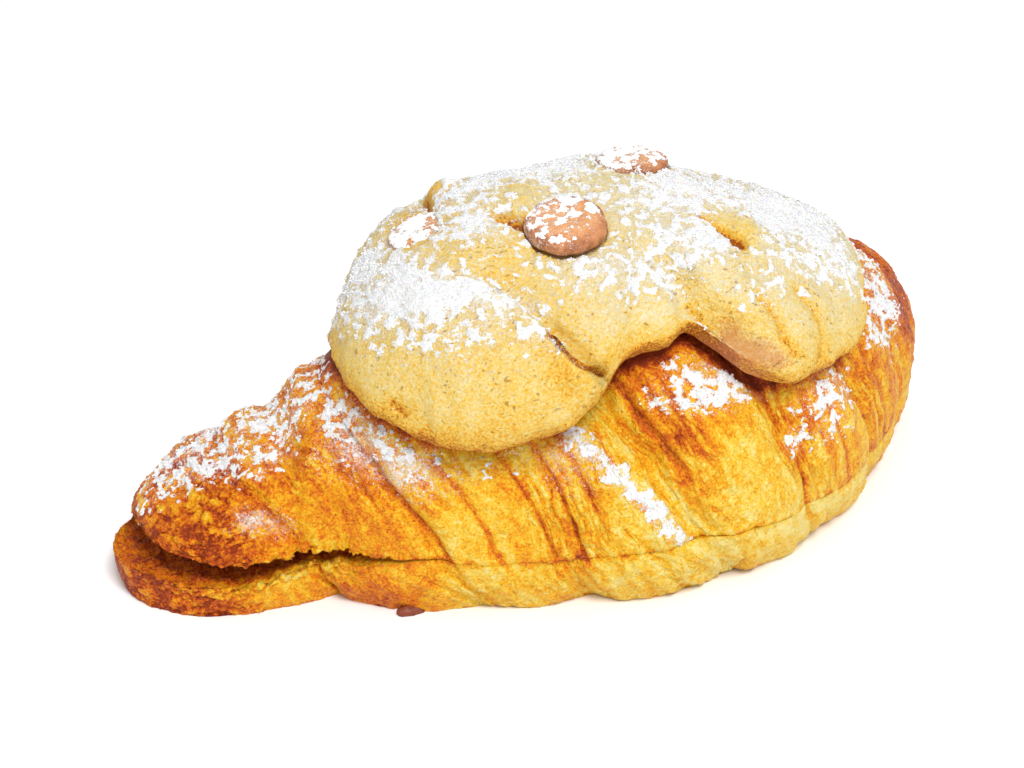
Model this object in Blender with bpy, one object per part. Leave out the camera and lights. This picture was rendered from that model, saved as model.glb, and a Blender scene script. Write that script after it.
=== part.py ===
"""Cookie croissant: a butter croissant cut open like a sandwich, with a slab of cookie dough baked over its
lid and chocolate buttons pressed into the dough. Metres, +Z up, narrow tip towards -X, resting on z = 0."""

import math

import bmesh
import bpy
import numpy as np
from mathutils import Matrix, Vector

# The sizes below are in millimetres.
MM = 0.001
COLLECTION = "cookie_croissant"

# Stations along the croissant's middle line, from the narrow tip to the blunt tip: distance along it, x and
# y in plan, half width, height of the crust's top, height of the cut, gap under the lid.
STATIONS = np.array(
    (
        (0, -76.5, 8.3, 11.2, 16.5, 8.6, 4.6),
        (10, -66.8, 8.6, 15.4, 20.5, 6.8, 4.8),
        (24, -53.3, 8.0, 18.6, 27.6, 6.6, 4.8),
        (30, -47.8, 7.3, 18.8, 29.2, 7.2, 4.5),
        (34, -44.1, 6.7, 18.9, 30.2, 7.8, 4.2),
        (38, -40.5, 5.9, 19.3, 36.2, 8.7, 3.8),
        (42, -36.8, 5.0, 19.8, 39.0, 9.4, 3.4),
        (60, -19.6, -0.9, 26.4, 48.6, 12.5, 0.35),
        (80, 0.0, -4.1, 31.6, 53.6, 12.3, 0.35),
        (100, 19.5, -5.2, 37.4, 54.8, 14.0, 0.35),
        (120, 39.4, -1.6, 36.6, 53.0, 13.2, 0.35),
        (140, 58.9, 6.3, 30.4, 47.8, 13.3, 0.35),
        (160, 76.8, 16.0, 22.2, 38.8, 13.5, 0.35),
        (180, 90.4, 27.0, 14.6, 30.4, 14.0, 0.35),
    )
)
LENGTH = STATIONS[-1, 0]

# The middle of the plan, moved to the origin.
CENTRE = (9.5, -3.84)

# The crust's section: a rounded shape widest at a share of its height, its lower half cut flat by the floor.
WIDEST_SHARE = 0.36
SOLE_SINK = 9.0
UPPER_POWER = 2.25
LOWER_POWER = 2.6

# Its rounded ends, and how far the lid's tip is set back and raised.
NARROW_CAP = 15.0
BLUNT_CAP = 14.0
BASE_CAP_POWER, LID_CAP_POWER = 2.0, 2.7
LID_SETBACK = 5.0
LID_TIP_RISE = 1.5
BASE_TIP_DROP = 1.0

# The cut faces are hollowed where the mouth shows them.
DISH_DEPTH = 1.6
DISH_END = 52.0

# Grooves where one rolled band steps down from the next: distance along the middle line at the front, how far
# the top leans back towards the narrow tip, depth on the lid and on the base, run towards either tip.
GROOVES = np.array(
    (
        (35.8, 14.0, 2.2, 2.6, 5.0, 2.6),
        (58.5, 15.5, 2.6, 1.3, 5.5, 2.4),
        (77.0, 13.0, 2.0, 2.0, 4.5, 2.4),
        (96.8, 15.0, 5.6, 2.0, 7.0, 2.6),
        (113.6, 10.5, 3.2, 1.6, 2.6, 6.0),
        (130.0, 11.0, 2.6, 1.6, 2.6, 5.5),
        (147.0, 8.0, 2.4, 1.4, 2.6, 5.0),
        (163.5, 4.0, 1.9, 1.0, 2.4, 4.5),
    )
)
GROOVE_POWER = 1.25
SEAM_SHARE = 0.5

# A raised fold before the deepest groove: its ends as distance along and angle, its height and half width.
FOLD_ENDS = ((79, 28), (96, -10))
FOLD_HEIGHT = 1.3
FOLD_WIDTH = 2.4

# Points round each ring and across the cut, in all a multiple of four, and the rings, which crowd at the ends
# and grooves.
LID_GRID = (30, 6, 70)
BASE_GRID = (18, 6, 58)
END_CROWDING, END_RUN = 2.2, 5.0
GROOVE_CROWDING, GROOVE_RUN = 1.6, 3.0

# The cookie slab lies on the unrolled crust, where one degree round it counts as a fixed run. Its outline is
# a reach by direction in degrees, 0 along the crust and -90 down its front.
COOKIE_MIDDLE = (97.0, 84.0)
MM_PER_DEGREE = 0.6
COOKIE_REACH = np.array(
    (
        (-180, 51.0), (-150, 48.6), (-138, 47.0), (-125, 39.4), (-118, 34.2), (-113.5, 29.0), (-110.5, 24.4),
        (-104, 21.6), (-95, 20.6), (-81, 19.6), (-70, 32.0), (-60, 35.8), (-47, 40.2), (-30, 42.2),
        (-15, 46.6), (5, 51.5), (30, 48.6), (60, 38.1), (90, 32.7), (120, 36.1), (150, 48.7), (167, 52.3),
    )
)

# Its thickness by distance along the middle line, less this share towards the front and the back.
COOKIE_THICKNESS = np.array(
    (
        (40, 3.5), (46, 6.0), (52, 12.0), (60, 16.0), (70, 17.8), (80, 17.4), (90, 15.8), (100, 15.4),
        (110, 14.3), (120, 11.2), (130, 9.4), (140, 7.4), (150, 4.5), (156, 4.0),
    )
)
COOKIE_THINNING = 0.25
COOKIE_GAP = 0.5
RIM_SHARE = 0.4
TOP_POWER, UNDER_POWER, PLAN_POWER = 2.6, 4.0, 3.0

# The slab steps down along one line and is creased along others. Ends as distance along and angle, sizes.
STEP_ENDS = ((71.5, 67), (85.5, 42))
STEP_DROP, STEP_WIDTH, STEP_RUN = 3.4, 0.8, 14.0
CREASES = (
    ((97.5, 64), (103.5, 44), 3.0, 2.2),
    ((110, 77), (108, 60), 1.6, 3.0),
    ((70, 112), (67, 90), 2.0, 2.6),
)

# Points round the slab and rings, closer together at its front edge's lobes: direction, crowding, spread.
COOKIE_AROUND, COOKIE_RINGS = 68, 32
LOBES = ((-1.85, 1.6, 0.5), (-1.2, 1.0, 0.5))

# Chocolate buttons: distance along the middle line, angle, radius, thickness, how proud the middle stands.
BUTTONS = (
    (86.0, 78.0, 7.2, 4.8, 0.5),
    (107.0, 98.0, 6.8, 4.6, -0.3),
    (66.0, 92.0, 6.4, 4.4, -1.9),
)
BUTTON_CLEARANCE = 0.3
BUTTON_AROUND, BUTTON_RINGS = 20, 8
BUTTON_EDGE_POWER, BUTTON_FACE_POWER = 3.2, 2.6


def between(rows, column, position):
    """Smooth interpolation of one column of a table over its first column."""
    xs, ys = rows[:, 0], rows[:, column]
    slopes = np.gradient(ys, xs)
    index = np.clip(np.searchsorted(xs, position, side="right") - 1, 0, len(xs) - 2)
    step = xs[index + 1] - xs[index]
    t = np.clip((position - xs[index]) / step, 0, 1)
    return (
        (2 * t**3 - 3 * t**2 + 1) * ys[index]
        + (t**3 - 2 * t**2 + t) * step * slopes[index]
        + (3 * t**2 - 2 * t**3) * ys[index + 1]
        + (t**3 - t**2) * step * slopes[index + 1]
    )


def smooth_step(low, high, value):
    t = np.clip((value - low) / (high - low), 0, 1)
    return t * t * (3 - 2 * t)


def bell(away, width):
    return np.exp(-((away / width) ** 2))


def signed_power(value, power):
    return np.sign(value) * np.abs(value) ** power


def crowded(fine, crowding, count):
    """Places along fine, closer together where the crowding is higher."""
    run = np.concatenate([[0], np.cumsum((crowding[1:] + crowding[:-1]) / 2)])
    return np.interp(np.arange(count) / (count - 1) * run[-1], run, fine)


def off_line(s, angle, first, last):
    """Signed distance on the unrolled crust from the line between two places, and the share along it."""
    start = np.array(first) * (1, MM_PER_DEGREE)
    run = np.array(last) * (1, MM_PER_DEGREE) - start
    size = np.hypot(*run)
    ds, da = s - start[0], np.degrees(angle) * MM_PER_DEGREE - start[1]
    return (ds * run[1] - da * run[0]) / size, (ds * run[0] + da * run[1]) / size**2


def cap(s, start, power):
    """How far the section has opened at s: 0 at either tip, 1 past the rounded ends."""
    near = np.clip((s - start) / NARROW_CAP, 0, 1)
    far = np.clip((LENGTH - s) / BLUNT_CAP, 0, 1)
    return (1 - (1 - near) ** power) ** (1 / power) * np.sqrt(1 - (1 - far) ** 2)


def widest_level(s):
    return WIDEST_SHARE * between(STATIONS, 4, s)


def section(s, angle):
    """Distance to the front and height of the smooth crust at an angle round its widest level."""
    half, top, level = between(STATIONS, 3, s), between(STATIONS, 4, s), widest_level(s)
    up = np.sin(angle) >= 0
    power = np.where(up, UPPER_POWER, LOWER_POWER)
    reach = np.where(up, top - level, level + SOLE_SINK)
    front = half * signed_power(np.cos(angle), 2 / power)
    return front, level + reach * signed_power(np.sin(angle), 2 / power)


def seam_angle(s, height):
    """The angle at which the smooth crust passes a height."""
    level = widest_level(s)
    above = height > level
    reach = np.where(above, between(STATIONS, 4, s) - level, level + SOLE_SINK)
    power = np.where(above, UPPER_POWER, LOWER_POWER)
    return np.arcsin(signed_power(np.clip((height - level) / reach, -1, 1), power / 2))


def on_plan(s, front, height):
    """A section's point in space: the section stands square to the middle line."""
    x, y = between(STATIONS, 1, s) - CENTRE[0], between(STATIONS, 2, s) - CENTRE[1]
    low, high = np.clip(s - 0.5, 0, LENGTH), np.clip(s + 0.5, 0, LENGTH)
    dx = between(STATIONS, 1, high) - between(STATIONS, 1, low)
    dy = between(STATIONS, 2, high) - between(STATIONS, 2, low)
    size = np.hypot(dx, dy)
    return np.stack([x + front * dy / size, y - front * dx / size, height], axis=-1)


def envelope(s, angle):
    """A point on the smooth crust and the direction straight out of it."""

    def at(s, angle):
        return on_plan(s, *section(s, angle))

    along = at(s + 0.5, angle) - at(s - 0.5, angle)
    around = at(s, angle + 0.01) - at(s, angle - 0.01)
    normal = np.cross(along, around)
    return at(s, angle), normal / np.linalg.norm(normal, axis=-1, keepdims=True)


def lean(place):
    """How far a ring's top leans back towards the narrow tip."""
    return between(np.concatenate([[[0, 0]], GROOVES[:, :2], [[LENGTH, 0]]]), 1, place)


def groove_depth(place, column):
    depth = 0
    for groove in GROOVES:
        away = place - groove[0]
        run = np.where(away < 0, groove[4], groove[5])
        depth = depth + groove[column] * np.exp(-((np.abs(away) / run) ** GROOVE_POWER))
    return depth


def raised_fold(s, angle):
    away, place = off_line(s, angle, *FOLD_ENDS)
    ends = smooth_step(-0.15, 0.15, place) * smooth_step(1.1, 0.8, place)
    return FOLD_HEIGHT * bell(away, FOLD_WIDTH) * ends


def ring_places(start, rings):
    fine = np.linspace(start, LENGTH, 2000)
    crowding = 1 + END_CROWDING * (bell(fine - start, END_RUN) + bell(LENGTH - fine, END_RUN))
    for groove in GROOVES:
        crowding = crowding + GROOVE_CROWDING * bell(fine - groove[0], GROOVE_RUN)
    return crowded(fine, crowding, rings + 1)[:, None]


def ring_angles(place, seam, around, lid):
    """Angles from the front seam to the back one, over the top or underneath, in equal runs."""
    turn = math.pi - 2 * seam if lid else -math.pi - 2 * seam
    fine = seam + turn * np.linspace(0, 1, 241)
    front, height = section(place, fine)
    steps = np.hypot(np.diff(front, prepend=front[:, :1]), np.diff(height, prepend=height[:, :1]))
    runs = np.cumsum(steps, axis=1)
    shares = np.linspace(0, 1, around + 1)
    return np.array([np.interp(shares * run[-1], run, row) for run, row in zip(runs, fine)])


def half_body(start, grid, lid):
    """Points of the lid or the base, ring by ring: round the crust, then back across the cut."""
    around, chord, rings = grid
    place = ring_places(start, rings)
    seam = np.zeros_like(place)
    for _ in range(6):
        s = place - lean(place) * np.sin(seam)
        cut = between(STATIONS, 5, s) + (between(STATIONS, 6, s) if lid else 0)
        seam = seam_angle(s, cut)
    angle = ring_angles(place, seam, around, lid)
    along = np.clip(place - lean(place) * np.sin(angle), start, LENGTH)
    front, height = section(along, angle)
    level = widest_level(along)
    relief = -groove_depth(place, 2 if lid else 3) * cap(along, start, 2)
    if lid:
        side = np.minimum(angle, math.pi - angle)
        relief = relief * (SEAM_SHARE + (1 - SEAM_SHARE) * smooth_step(-0.1, 0.45, side))
        relief = relief + raised_fold(along, angle)
    grow = relief / np.maximum(np.hypot(front, height - level), 1)
    front = front * (1 + grow)
    height = height + (height - level) * grow * smooth_step(0, 10, np.abs(height - cut))
    across = np.linspace(0, 1, chord + 1)[None, 1:-1]
    dish = DISH_DEPTH * smooth_step(DISH_END, 0.6 * DISH_END, s) * np.sqrt(np.sin(math.pi * across))
    front = np.concatenate([front, front[:, -1:] * (1 - across) + front[:, :1] * across], axis=1)
    height = np.concatenate([height, cut + (dish if lid else -dish)], axis=1)
    along = np.concatenate([along, np.repeat(s, chord - 1, axis=1)], axis=1)
    open_share = cap(along, start, LID_CAP_POWER if lid else BASE_CAP_POWER)
    tip = cut + (LID_TIP_RISE if lid else -BASE_TIP_DROP)
    return on_plan(along, front * open_share, np.maximum(tip + (height - tip) * open_share, 0))


def cookie_reach(turn):
    """Reach of the slab's outline from its middle in a direction on the unrolled crust."""
    rows = np.concatenate([COOKIE_REACH - (360, 0), COOKIE_REACH, COOKIE_REACH + (360, 0)])
    return between(rows, 1, np.degrees(turn))


def cookie_relief(s, angle):
    """Height of the slab's step and creases."""
    away, place = off_line(s, angle, *STEP_ENDS)
    drop = smooth_step(STEP_WIDTH, -STEP_WIDTH, away) * np.exp(np.minimum(away, 0) / STEP_RUN)
    relief = -STEP_DROP * drop * smooth_step(-0.25, 0.1, place) * smooth_step(1.3, 1.0, place)
    for first, last, depth, width in CREASES:
        away, place = off_line(s, angle, first, last)
        ends = smooth_step(-0.4, 0.1, place) * smooth_step(1.4, 0.9, place)
        relief = relief - depth * bell(away, width) * ends
    return relief


def cookie_thickness(s, angle):
    side = np.clip(np.abs(np.degrees(angle) - 90) / 60, 0, 1)
    return between(COOKIE_THICKNESS, 1, s) * (1 - COOKIE_THINNING * side**2)


def cookie_points():
    """Points of the slab, ring by ring from the middle of its top, over the rim, to that of its underside."""
    polar = np.linspace(0, math.pi, COOKIE_RINGS + 1)[:, None]
    fine = np.linspace(-math.pi, math.pi, 2000)
    crowding = 1 + sum(extra * bell(fine - direction, spread) for direction, extra, spread in LOBES)
    turn = crowded(fine, crowding, COOKIE_AROUND + 1)[None, :-1]
    out = cookie_reach(turn) * np.sin(polar) ** (2 / PLAN_POWER)
    s = COOKIE_MIDDLE[0] + out * np.cos(turn)
    angle = np.radians(COOKIE_MIDDLE[1] + out * np.sin(turn) / MM_PER_DEGREE)
    thick = cookie_thickness(s, angle)
    rim = RIM_SHARE * thick
    lift = np.abs(np.cos(polar))
    over = rim + (thick - rim) * lift ** (2 / TOP_POWER)
    over = over + cookie_relief(s, angle) * smooth_step(0, 0.5, lift)
    under = rim * (1 - lift ** (2 / UNDER_POWER))
    foot, normal = envelope(s, angle)
    return foot + normal * (COOKIE_GAP + np.where(np.cos(polar) > 0, over, under))[..., None]


def wrapped_sphere(name, points):
    """A sphere whose vertices are moved to points[ring, place round it], its poles at the first and last."""
    rings, around = points.shape[0] - 1, points.shape[1]
    mesh = bpy.data.meshes.new(name)
    shape = bmesh.new()
    bmesh.ops.create_uvsphere(shape, u_segments=around, v_segments=rings, radius=1)
    for vertex in shape.verts:
        x, y, z = vertex.co
        ring = round(math.acos(max(-1, min(1, z))) / math.pi * rings)
        place = round(math.atan2(y, x) / math.tau * around) % around
        vertex.co = Vector(points[ring, place]) * MM
    if shape.calc_volume(signed=True) < 0:
        bmesh.ops.reverse_faces(shape, faces=shape.faces)
    shape.to_mesh(mesh)
    shape.free()
    mesh.shade_smooth()
    return bpy.data.objects.new(name, mesh)


def button(name, row, grow):
    """A flat chocolate drop on the slab, or its pocket when grown."""
    s, degrees, radius, thickness, proud = row
    angle = np.radians(degrees)
    foot, normal = envelope(np.array(s), np.array(angle))
    height = COOKIE_GAP + cookie_thickness(s, angle) + cookie_relief(s, angle) + proud
    polar = np.linspace(0, math.pi, BUTTON_RINGS + 1)[:, None]
    turn = np.linspace(0, math.tau, BUTTON_AROUND, endpoint=False)[None, :]
    reach = (radius + grow) * np.sin(polar) ** (2 / BUTTON_EDGE_POWER)
    rise = (thickness / 2 + grow) * signed_power(np.cos(polar), 2 / BUTTON_FACE_POWER)
    flat = np.stack(np.broadcast_arrays(reach * np.cos(turn), reach * np.sin(turn), rise), axis=-1)
    drop = wrapped_sphere(name, flat)
    turned = Vector(normal).to_track_quat("Z", "Y").to_matrix().to_4x4()
    drop.data.transform(Matrix.Translation(Vector(foot + normal * height) * MM) @ turned)
    return drop


def cut_pocket(slab, pocket):
    pocket.display_type = "WIRE"
    pocket.hide_render = True
    cut = slab.modifiers.new(pocket.name, "BOOLEAN")
    cut.object = pocket
    cut.operation = "DIFFERENCE"
    cut.solver = "EXACT"


def material(name, colour, roughness):
    made = bpy.data.materials.new(name)
    made.use_nodes = True
    shader = made.node_tree.nodes["Principled BSDF"]
    shader.inputs["Base Color"].default_value = (*colour, 1)
    shader.inputs["Roughness"].default_value = roughness
    return made


def main():
    for thing in list(bpy.data.objects):
        bpy.data.objects.remove(thing)
    parts = bpy.data.collections.new(COLLECTION)
    cutters = bpy.data.collections.new("cutters")
    for group in (parts, cutters):
        bpy.context.scene.collection.children.link(group)
    cutters.hide_render = True
    base = wrapped_sphere("croissant_base", half_body(0, BASE_GRID, False))
    lid = wrapped_sphere("croissant_lid", half_body(LID_SETBACK, LID_GRID, True))
    slab = wrapped_sphere("cookie_slab", cookie_points())
    finishes = {
        base: material("crust_base", (0.80, 0.42, 0.10), 0.5),
        lid: material("crust_lid", (0.72, 0.34, 0.08), 0.45),
        slab: material("cookie", (0.80, 0.58, 0.24), 0.8),
    }
    chocolate = material("milk_chocolate", (0.30, 0.12, 0.05), 0.4)
    for number, row in enumerate(BUTTONS, 1):
        finishes[button(f"chocolate_button_{number}", row, 0)] = chocolate
        pocket = button(f"pocket_{number}", row, BUTTON_CLEARANCE)
        cutters.objects.link(pocket)
        cut_pocket(slab, pocket)
    for thing, finish in finishes.items():
        thing.data.materials.append(finish)
        parts.objects.link(thing)


main()
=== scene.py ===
import itertools
import math

import bpy
import numpy as np
from mathutils import Matrix, Vector


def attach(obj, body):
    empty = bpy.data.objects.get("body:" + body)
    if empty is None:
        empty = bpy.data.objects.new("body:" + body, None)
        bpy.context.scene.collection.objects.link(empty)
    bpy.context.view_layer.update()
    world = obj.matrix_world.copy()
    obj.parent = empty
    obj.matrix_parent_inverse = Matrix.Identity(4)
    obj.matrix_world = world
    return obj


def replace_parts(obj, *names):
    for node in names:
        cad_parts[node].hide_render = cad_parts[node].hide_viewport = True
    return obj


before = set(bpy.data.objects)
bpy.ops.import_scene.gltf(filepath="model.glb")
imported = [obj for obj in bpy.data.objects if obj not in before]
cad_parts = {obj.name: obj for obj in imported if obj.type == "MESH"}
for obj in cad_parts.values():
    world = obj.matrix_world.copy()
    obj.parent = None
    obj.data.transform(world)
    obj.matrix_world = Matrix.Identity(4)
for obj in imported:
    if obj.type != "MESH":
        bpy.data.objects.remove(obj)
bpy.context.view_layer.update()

# A cookie croissant: crust halves, a slab of cookie dough, chocolate drops and icing sugar.
# Sizes are in millimetres until a mesh is made.
MM = 0.001
RNG = np.random.default_rng(7)

# The shape of the solids, as in the part. Stations along the middle line: distance, x, y, half width, height
# of the top, height of the cut, gap under the lid.
STATIONS = np.array([
    (0, -76.5, 8.3, 11.2, 16.5, 8.6, 4.6),
    (10, -66.8, 8.6, 15.4, 20.5, 6.8, 4.8),
    (24, -53.3, 8.0, 18.6, 27.6, 6.6, 4.8),
    (30, -47.8, 7.3, 18.8, 29.2, 7.2, 4.5),
    (34, -44.1, 6.7, 18.9, 30.2, 7.8, 4.2),
    (38, -40.5, 5.9, 19.3, 36.2, 8.7, 3.8),
    (42, -36.8, 5.0, 19.8, 39.0, 9.4, 3.4),
    (60, -19.6, -0.9, 26.4, 48.6, 12.5, 0.35),
    (80, 0.0, -4.1, 31.6, 53.6, 12.3, 0.35),
    (100, 19.5, -5.2, 37.4, 54.8, 14.0, 0.35),
    (120, 39.4, -1.6, 36.6, 53.0, 13.2, 0.35),
    (140, 58.9, 6.3, 30.4, 47.8, 13.3, 0.35),
    (160, 76.8, 16.0, 22.2, 38.8, 13.5, 0.35),
    (180, 90.4, 27.0, 14.6, 30.4, 14.0, 0.35),
])
LENGTH = STATIONS[-1, 0]
CENTRE = (9.5, -3.84)
WIDEST_SHARE = 0.36
SOLE_SINK = 9.0
UPPER_POWER = 2.25
LOWER_POWER = 2.6
NARROW_CAP = 15.0
BLUNT_CAP = 14.0
BASE_CAP_POWER, LID_CAP_POWER = 2.0, 2.7
LID_SETBACK = 5.0
LID_TIP_RISE = 1.5
BASE_TIP_DROP = 1.0
DISH_DEPTH = 1.6
DISH_END = 52.0

# Grooves between the rolled bands: distance along at the front, lean of the top, depth on the lid and on the
# base, run before and after.
GROOVES = np.array([
    (35.8, 14.0, 2.2, 2.6, 5.0, 2.6),
    (58.5, 15.5, 2.6, 1.3, 5.5, 2.4),
    (77.0, 13.0, 2.0, 2.0, 4.5, 2.4),
    (96.8, 15.0, 5.6, 2.0, 7.0, 2.6),
    (113.6, 10.5, 3.2, 1.6, 2.6, 6.0),
    (130.0, 11.0, 2.6, 1.6, 2.6, 5.5),
    (147.0, 8.0, 2.4, 1.4, 2.6, 5.0),
    (163.5, 4.0, 1.9, 1.0, 2.4, 4.5),
])
GROOVE_POWER = 1.25
SEAM_SHARE = 0.5
FOLD_ENDS = ((79, 28), (96, -10))
FOLD_HEIGHT = 1.3
FOLD_WIDTH = 2.4
# How far the lid closes on the base past the mouth, and the distances along between which it does.
CLOSING, CLOSING_ENDS = 0.22, (62, 68)

# The cookie slab on the unrolled crust.
COOKIE_MIDDLE = (97.0, 84.0)
MM_PER_DEGREE = 0.6
COOKIE_REACH = np.array([
    (-180, 51.0), (-150, 48.6), (-138, 47.0), (-125, 39.4), (-118, 34.2), (-113.5, 29.0),
    (-110.5, 24.4), (-104, 21.6), (-95, 20.6), (-81, 19.6), (-70, 32.0), (-60, 35.8), (-47, 40.2),
    (-30, 42.2), (-15, 46.6), (5, 51.5), (30, 48.6), (60, 38.1), (90, 32.7), (120, 36.1), (150, 48.7),
    (167, 52.3),
])
COOKIE_THICKNESS = np.array([
    (40, 3.5), (46, 6.0), (52, 12.0), (60, 16.0), (70, 17.8), (80, 17.4), (90, 15.8), (100, 15.4),
    (110, 14.3), (120, 11.2), (130, 9.4), (140, 7.4), (150, 4.5), (156, 4.0),
])
COOKIE_THINNING = 0.25
COOKIE_GAP = 0.5
RIM_SHARE = 0.4
TOP_POWER, UNDER_POWER, PLAN_POWER = 2.6, 4.0, 3.0
STEP_ENDS = ((71.5, 67), (85.5, 42))
STEP_DROP, STEP_WIDTH, STEP_RUN = 3.4, 0.8, 14.0
CREASES = (
    ((97.5, 64), (103.5, 44), 3.0, 2.2),
    ((110, 77), (108, 60), 1.6, 3.0),
    ((70, 112), (67, 90), 2.0, 2.6),
)
# The chocolate drops: distance along, degrees, radius, thickness, how proud they stand.
BUTTONS = (
    (86.0, 78.0, 7.2, 4.8, 0.5),
    (107.0, 98.0, 6.8, 4.6, -0.3),
    (66.0, 92.0, 6.4, 4.4, -1.9),
)
DROP_POWER, DROP_TOP_POWER = 3.2, 2.6

# Fine grids: points round the crust, across the cut, and rings.
LID_GRID = (380, 40, 440)
BASE_GRID = (210, 110, 440)
COOKIE_GRID = (520, 300)
DROP_GRID = (96, 60)

# How far the crust is baked, from 0, pale, to 1, dark, at distances along: at the seam, halfway up, on top.
LID_BAKE = np.array([
    (0, 0.86, 0.78, 0.68), (10, 0.8, 0.66, 0.56), (20, 0.64, 0.54, 0.54), (30, 0.5, 0.5, 0.54),
    (42, 0.54, 0.52, 0.54), (54, 0.52, 0.48, 0.49), (62, 0.32, 0.32, 0.4), (72, 0.38, 0.36, 0.42),
    (79, 0.46, 0.42, 0.46), (87, 0.26, 0.34, 0.46), (95, 0.26, 0.54, 0.62), (105, 0.2, 0.42, 0.54),
    (115, 0.36, 0.52, 0.58), (130, 0.44, 0.54, 0.58), (150, 0.52, 0.58, 0.64), (165, 0.64, 0.7, 0.78),
    (180, 0.82, 0.86, 0.88),
])
# Rows of spots: distance along, degrees, half width along, half width round in degrees, amount. Here they are
# darker places on the lid, browner baking and, at 46 along, painted shade of the band behind the slab;
# and swellings of its bands.
LID_BROWN_AND_SHADE = (
    (158, 24, 5, 12, 0.3), (166, 40, 6, 14, 0.2), (8, 20, 8, 20, 0.14), (24, 10, 6, 8, 0.1),
    (46, 96, 5, 12, 0.5), (95, 25, 2.2, 16, 0.12),
)
LID_HUMPS = ((27, 98, 5, 26, 0.5), (43, 100, 5, 24, 1.0))
# How far the base is baked, at distances along: at the seam, at the foot.
BASE_BAKE = np.array([
    (0, 0.78, 0.82), (14, 0.58, 0.76), (24, 0.4, 0.68), (33, 0.38, 0.58), (42, 0.54, 0.68),
    (55, 0.52, 0.67), (64, 0.27, 0.38), (75, 0.33, 0.41), (84, 0.26, 0.36), (95, 0.17, 0.29),
    (110, 0.1, 0.26), (125, 0.16, 0.32), (150, 0.4, 0.5), (180, 0.78, 0.8),
])
# Colours of the crust by how far it is baked, and of the dough and the chocolate from pale to dark places.
BAKE_COLOURS = (
    (0.0, (250, 228, 142)), (0.18, (249, 210, 74)), (0.34, (247, 188, 22)), (0.48, (241, 158, 10)),
    (0.61, (230, 126, 8)), (0.77, (204, 88, 10)), (0.9, (158, 56, 12)), (1.0, (96, 30, 8)),
)
DOUGH_COLOURS = (
    (0.0, (233, 219, 178)), (0.3, (235, 208, 130)), (0.55, (235, 192, 76)), (0.8, (226, 156, 36)),
    (1.0, (168, 88, 16)),
)
CHOCOLATE_COLOURS = (
    (0.2, (156, 92, 52)), (0.45, (202, 134, 84)), (0.65, (220, 160, 106)), (0.9, (182, 114, 70)),
)


def between(rows, column, position):
    """Smooth interpolation of one column of a table over its first column."""
    xs, ys = rows[:, 0], rows[:, column]
    slopes = np.gradient(ys, xs)
    index = np.clip(np.searchsorted(xs, position, side="right") - 1, 0, len(xs) - 2)
    step = xs[index + 1] - xs[index]
    t = np.clip((position - xs[index]) / step, 0, 1)
    return (
        (2 * t**3 - 3 * t**2 + 1) * ys[index]
        + (t**3 - 2 * t**2 + t) * step * slopes[index]
        + (3 * t**2 - 2 * t**3) * ys[index + 1]
        + (t**3 - t**2) * step * slopes[index + 1]
    )


def smooth_step(low, high, value):
    t = np.clip((value - low) / (high - low), 0, 1)
    return t * t * (3 - 2 * t)


def window(value, start, full, last, end):
    """0 before start and past end, 1 from full to last, smooth between."""
    return smooth_step(start, full, value) * smooth_step(end, last, value)


def bell(away, width):
    return np.exp(-((away / width) ** 2))


def signed_power(value, power):
    return np.sign(value) * np.abs(value) ** power


def crowded(fine, crowding, count):
    """Places along fine, closer together where the crowding is higher."""
    run = np.concatenate([[0], np.cumsum((crowding[1:] + crowding[:-1]) / 2)])
    return np.interp(np.arange(count) / (count - 1) * run[-1], run, fine)


def off_line(s, angle, first, last):
    """Signed distance on the unrolled crust from the line between two places, and the share along it."""
    start = np.array(first) * (1, MM_PER_DEGREE)
    run = np.array(last) * (1, MM_PER_DEGREE) - start
    size = np.hypot(*run)
    ds, da = s - start[0], np.degrees(angle) * MM_PER_DEGREE - start[1]
    return (ds * run[1] - da * run[0]) / size, (ds * run[0] + da * run[1]) / size**2


def off_path(s, angle, path):
    """Distance on the unrolled crust from a bent line through places, and the share along it."""
    nearest, along = np.full(np.shape(s), 99.0), np.zeros(np.shape(s))
    for number, (first, last) in enumerate(zip(path, path[1:])):
        away, share = off_line(s, angle, first, last)
        size = math.hypot(last[0] - first[0], (last[1] - first[1]) * MM_PER_DEGREE)
        held = np.clip(share, 0, 1)
        here = np.hypot(away, (share - held) * size)
        along = np.where(here < nearest, (number + held) / (len(path) - 1), along)
        nearest = np.minimum(nearest, here)
    return nearest, along


def cap(s, start, power):
    """How far the section has opened at s: 0 at either tip, 1 past the rounded ends."""
    near = np.clip((s - start) / NARROW_CAP, 0, 1)
    far = np.clip((LENGTH - s) / BLUNT_CAP, 0, 1)
    return (1 - (1 - near) ** power) ** (1 / power) * np.sqrt(1 - (1 - far) ** 2)


def widest_level(s):
    return WIDEST_SHARE * between(STATIONS, 4, s)


def section(s, angle):
    """Distance to the front and height of the smooth crust at an angle round its widest level."""
    half, top, level = between(STATIONS, 3, s), between(STATIONS, 4, s), widest_level(s)
    up = np.sin(angle) >= 0
    power = np.where(up, UPPER_POWER, LOWER_POWER)
    reach = np.where(up, top - level, level + SOLE_SINK)
    front = half * signed_power(np.cos(angle), 2 / power)
    return front, level + reach * signed_power(np.sin(angle), 2 / power)


def seam_angle(s, height):
    """The angle at which the smooth crust passes a height."""
    level = widest_level(s)
    above = height > level
    reach = np.where(above, between(STATIONS, 4, s) - level, level + SOLE_SINK)
    power = np.where(above, UPPER_POWER, LOWER_POWER)
    return np.arcsin(signed_power(np.clip((height - level) / reach, -1, 1), power / 2))


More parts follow.
